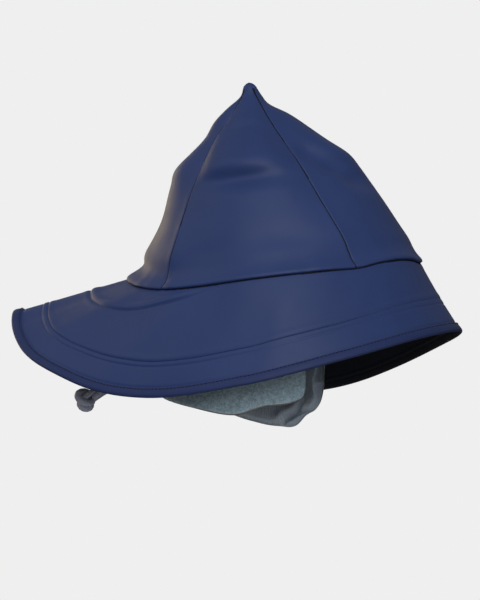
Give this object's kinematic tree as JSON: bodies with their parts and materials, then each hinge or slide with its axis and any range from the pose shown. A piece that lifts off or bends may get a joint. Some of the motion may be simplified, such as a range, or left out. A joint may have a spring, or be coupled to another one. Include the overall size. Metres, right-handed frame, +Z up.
{
  "type": "sou wester hat",
  "caption": "Child's pointed rain hat with four crown panels, a long neck guard, a fleece ear band and a knotted drawcord.",
  "frame": {"origin": "middle of the crown seam, where the hat sits on the head", "axes": "+Z up, +X to the front of the hat, +Y to the wearer's left"},
  "size_m": [0.3116, 0.2102, 0.2351],
  "materials": {
    "coated_cloth": "navy polyurethane-coated knit, satin",
    "fleece": "grey fleece, soft pile",
    "drawcord": "grey round elastic cord, matt"
  },
  "bodies": {
    "root": {"crown_panel_front": "coated_cloth", "crown_panel_back": "coated_cloth", "crown_panel_left": "coated_cloth", "crown_panel_right": "coated_cloth", "brim_inner": "coated_cloth", "brim_middle": "coated_cloth", "brim_outer": "coated_cloth", "rim_hem": "coated_cloth", "ear_neck_band": "fleece", "drawcord_left": "drawcord", "drawcord_right": "drawcord", "drawcord_knot": "drawcord"}
  },
  "joints": []
}
